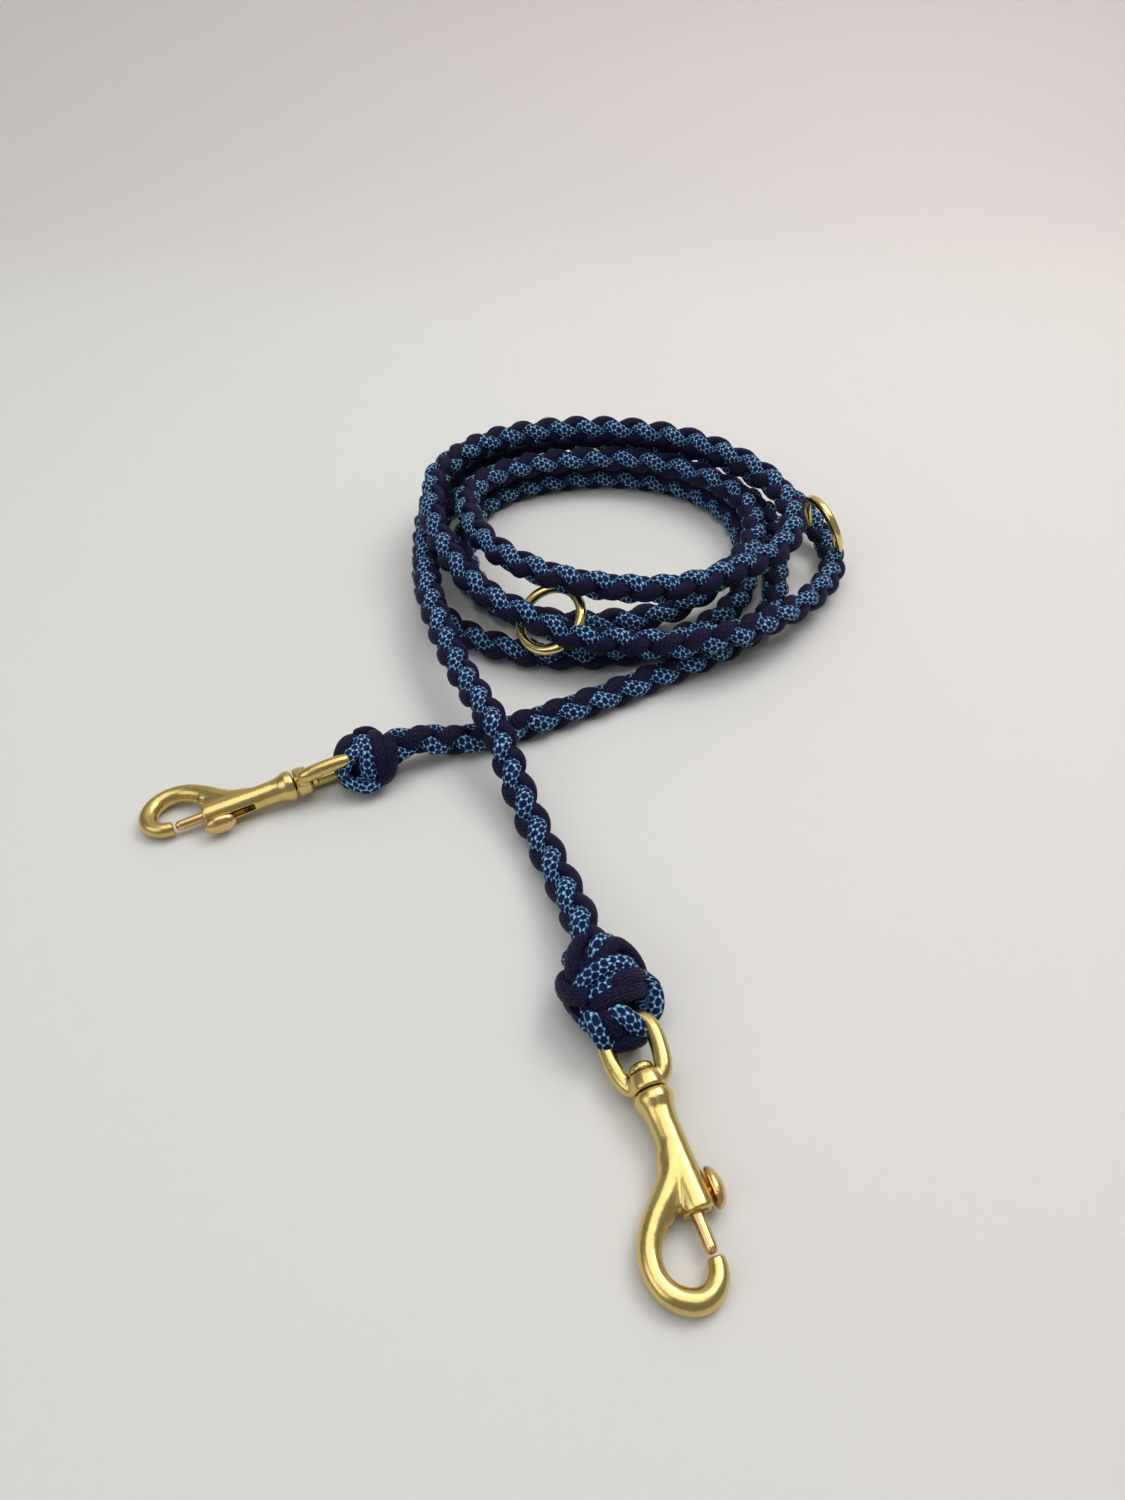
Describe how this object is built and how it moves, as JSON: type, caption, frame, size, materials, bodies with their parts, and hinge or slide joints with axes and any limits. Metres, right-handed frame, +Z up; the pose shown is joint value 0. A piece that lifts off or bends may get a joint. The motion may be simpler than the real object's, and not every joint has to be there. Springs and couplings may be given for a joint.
{
  "type": "lead rope",
  "caption": "Round-braided cord lead, coiled flat, with a swivel-eye bolt snap knotted on at each end and metal rings braided in for adjusting its length.",
  "frame": {"origin": "base centre of the metal pieces' bounding box, on the surface the lead lies on", "axes": "+Z up; +Y away from the front snap, along the lead's longest extent as coiled; +X to the right, away from the left snap"},
  "size_m": [0.2307, 0.3479, 0.0345],
  "materials": {
    "navy_cord": "fine diagonal weave, matte",
    "patterned_cord": "dark blue diamonds in a light blue net, matte",
    "brass": "polished cast brass",
    "bronze": "satin, redder than the body",
    "steel_spring": "drawn wire"
  },
  "bodies": {
    "rope": {"braided_rope": "navy_cord", "front_knot": "navy_cord", "left_knot": "patterned_cord", "front_patterned_loop": "patterned_cord", "front_navy_loop": "navy_cord", "left_patterned_loop": "patterned_cord", "left_navy_loop": "navy_cord"},
    "front_eye": {"front_swivel_eye": "brass"},
    "front_snap": {"front_snap_body": "brass", "front_bolt_spring": "steel_spring"},
    "front_bolt": {"front_bolt": "bronze", "front_thumb_knob": "bronze"},
    "left_eye": {"left_swivel_eye": "brass"},
    "left_snap": {"left_snap_body": "brass", "left_bolt_spring": "steel_spring"},
    "left_bolt": {"left_bolt": "bronze", "left_thumb_knob": "bronze"},
    "ring_1": {"ring_1": "brass"},
    "ring_2": {"ring_2": "brass"}
  },
  "joints": [
    {"name": "front_eye_swing", "type": "hinge", "parent": "rope", "child": "front_eye", "pos_m": [0.02215, -0.08019, 0.00784], "axis": [-0.8991, -0.2749, -0.3407], "range_deg": [0, 60]},
    {"name": "front_swivel", "type": "hinge", "parent": "front_eye", "child": "front_snap", "pos_m": [0.028, -0.09735, 0.00625], "axis": [0.3214, -0.9429, -0.0872], "continuous": true},
    {"name": "front_bolt_slide", "type": "slide", "parent": "front_snap", "child": "front_bolt", "axis": [-0.3214, 0.9429, 0.0872], "range_m": [0, 0.008], "stiffness_N_per_m": 250, "springref_m": -0.004, "deforming": ["front_bolt_spring"]},
    {"name": "left_eye_swing", "type": "hinge", "parent": "rope", "child": "left_eye", "pos_m": [-0.05432, 0.00771, 0.00784], "axis": [-0.1672, 0.5235, -0.8355], "range_deg": [0, 60]},
    {"name": "left_swivel", "type": "hinge", "parent": "left_eye", "child": "left_snap", "pos_m": [-0.0707, -0.00005, 0.00625], "axis": [-0.9002, -0.4266, -0.0872], "continuous": true},
    {"name": "left_bolt_slide", "type": "slide", "parent": "left_snap", "child": "left_bolt", "axis": [0.9002, 0.4266, 0.0872], "range_m": [0, 0.008], "stiffness_N_per_m": 250, "springref_m": -0.004, "deforming": ["left_bolt_spring"]},
    {"name": "ring_1_spin", "type": "hinge", "parent": "rope", "child": "ring_1", "pos_m": [0.1075, 0.12955, 0.0151], "axis": [0.8885, 0.3294, 0.3195], "continuous": true},
    {"name": "ring_2_spin", "type": "hinge", "parent": "rope", "child": "ring_2", "pos_m": [0.0042, 0.06755, 0.0169], "axis": [-0.4197, -0.4297, 0.7995], "continuous": true}
  ]
}
